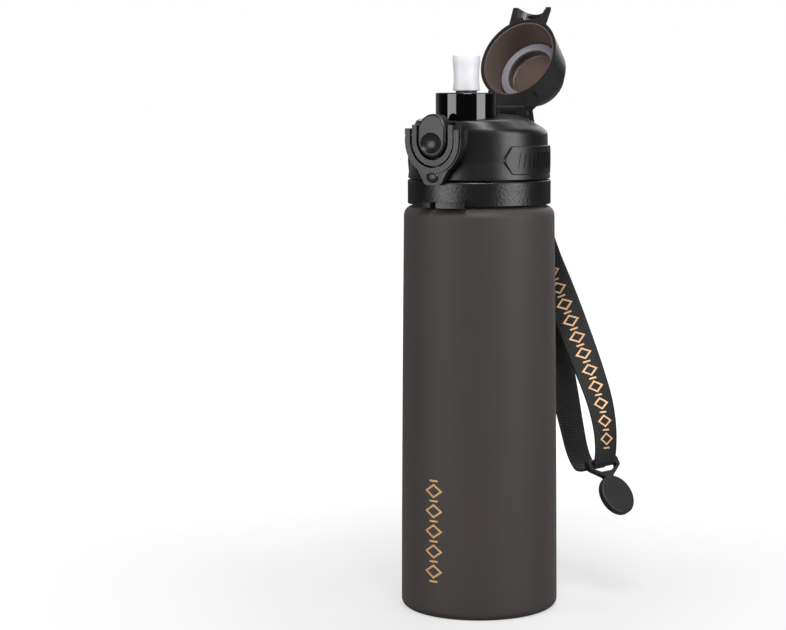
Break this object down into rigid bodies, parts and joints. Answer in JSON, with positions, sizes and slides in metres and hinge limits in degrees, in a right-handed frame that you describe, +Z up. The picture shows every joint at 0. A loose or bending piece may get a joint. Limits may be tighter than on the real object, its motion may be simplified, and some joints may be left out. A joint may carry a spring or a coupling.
{
  "type": "folding water bottle",
  "caption": "Soft silicone bottle with a screw lid, flip cap with push latch, pull-up drinking nozzle, swinging lock ring and wrist strap.",
  "frame": {"origin": "middle of the flat base, on the surface the bottle stands on", "axes": "+Z up along the bottle's axis, -Y towards the latch at the lid's front, +Y towards the cap hinge and the strap"},
  "size_m": [0.096, 0.0983, 0.2861],
  "materials": {
    "body_silicone": "matte",
    "ring_plastic": "fine texture",
    "neck_plastic": "satin",
    "seal_grey": "matte",
    "lid_plastic": "satin",
    "collar_gloss": "gloss",
    "nozzle_silicone": "translucent",
    "cap_plastic": "satin",
    "liner_plastic": "satin",
    "steel": "brushed",
    "webbing": "woven",
    "tag_rubber": "matte"
  },
  "bodies": {
    "bottle": {"silicone_body": "body_silicone", "neck_ring": "ring_plastic", "neck_insert": "neck_plastic"},
    "gasket": {"lid_gasket": "seal_grey"},
    "lid": {"lid_shell": "lid_plastic", "vent_valve": "seal_grey", "spout_collar": "collar_gloss", "spout_seal": "seal_grey", "hinge_pin": "steel", "hinge_spring": "steel", "button_pin": "steel", "button_spring": "steel", "lock_ring_pins": "neck_plastic"},
    "cap": {"flip_cap": "cap_plastic", "cap_liner": "liner_plastic", "cap_seal": "seal_grey"},
    "nozzle": {"nozzle_tip": "nozzle_silicone", "nozzle_stem": "neck_plastic", "straw": "nozzle_silicone"},
    "latch": {"latch_button": "lid_plastic"},
    "lock": {"lock_ring": "lid_plastic"},
    "strap": {"strap_webbing": "webbing"},
    "tag": {"strap_tag": "tag_rubber"}
  },
  "joints": [
    {"name": "lid_lift", "type": "slide", "parent": "bottle", "child": "gasket", "axis": [0, 0, 1], "range_m": [0, 0.006]},
    {"name": "lid_turn", "type": "hinge", "parent": "gasket", "child": "lid", "pos_m": [0, 0, 0.2], "axis": [0, 0, 1], "range_deg": [0, 540]},
    {"name": "cap_hinge", "type": "hinge", "parent": "lid", "child": "cap", "pos_m": [0, 0.0188, 0.2356], "axis": [1, 0, 0], "range_deg": [0, 121], "stiffness_Nm_per_rad": 0.006, "springref_deg": -17.19},
    {"name": "nozzle_slide", "type": "slide", "parent": "lid", "child": "nozzle", "axis": [0, 0, 1], "range_m": [-0.0132, 0]},
    {"name": "latch_rock", "type": "hinge", "parent": "lid", "child": "latch", "pos_m": [0, -0.0346, 0.2257], "axis": [1, 0, 0], "range_deg": [0, 8], "stiffness_Nm_per_rad": 0.004, "springref_deg": -5.73},
    {"name": "lock_swing", "type": "hinge", "parent": "lid", "child": "lock", "pos_m": [0, -0.0362, 0.2257], "axis": [-1, 0, 0], "range_deg": [0, 180]},
    {"name": "strap_swing", "type": "hinge", "parent": "bottle", "child": "strap", "pos_m": [0, 0.04, 0.195], "axis": [1, 0, 0], "range_deg": [0, 80]},
    {"name": "tag_swing", "type": "hinge", "parent": "strap", "child": "tag", "pos_m": [0.042, 0.0429, 0.0675], "axis": [0.1736, 0.9848, 0], "range_deg": [-40, 40]}
  ],
  "couplings": [
    {"joint": "lid_lift", "follows": "lid_turn", "m_per_rad": 0.0006366},
    {"joint": "nozzle_slide", "follows": "cap_hinge", "m_per_rad": -0.0062504}
  ]
}
